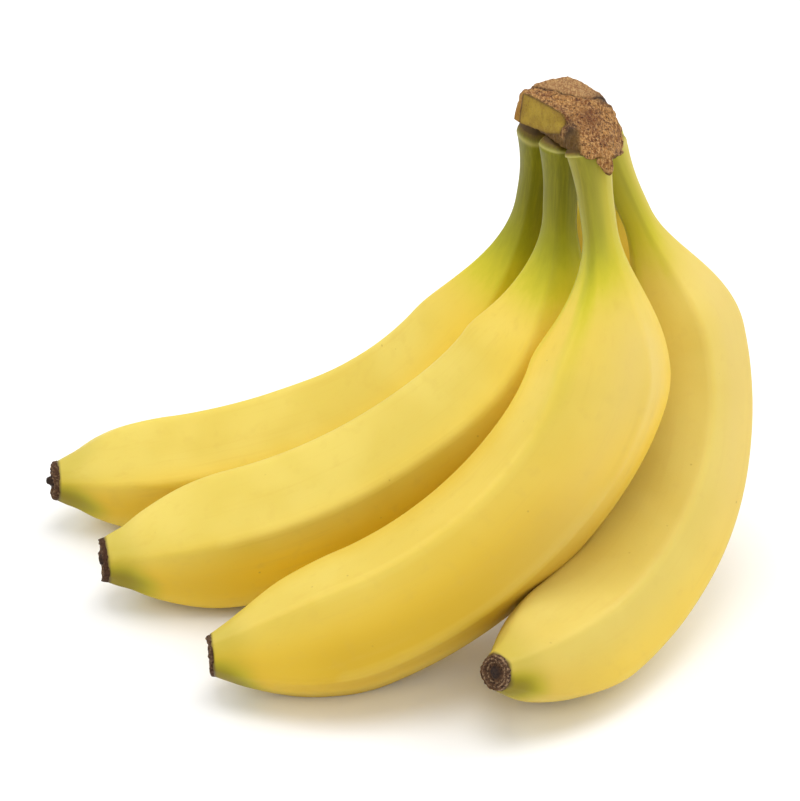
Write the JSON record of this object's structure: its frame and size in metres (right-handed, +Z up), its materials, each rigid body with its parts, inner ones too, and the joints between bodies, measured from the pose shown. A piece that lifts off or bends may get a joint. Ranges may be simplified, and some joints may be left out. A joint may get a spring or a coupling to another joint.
{
  "type": "bunch of bananas",
  "caption": "Small hand of ripe yellow bananas joined at a cut brown crown, lying on the backs of its curved fingers with the crown raised.",
  "frame": {"origin": "on the surface that the bunch lies on, under the middle of its bounding box", "axes": "+Z up, away from the surface; the fingers bend from the crown at +X towards -X, the right-hand one also towards -Y"},
  "size_m": [0.2107, 0.1488, 0.1468],
  "materials": {
    "peel": "smooth waxy banana peel, satin",
    "crown": "dry fibrous cut stem, matt",
    "blossom_end": "dried dark scar, matt"
  },
  "bodies": {
    "root": {"crown": "crown", "banana_1": "peel", "banana_2": "peel", "banana_3": "peel", "banana_4": "peel", "banana_5": "peel", "blossom_end_1": "blossom_end", "blossom_end_2": "blossom_end", "blossom_end_3": "blossom_end", "blossom_end_4": "blossom_end", "blossom_end_5": "blossom_end"}
  },
  "joints": []
}
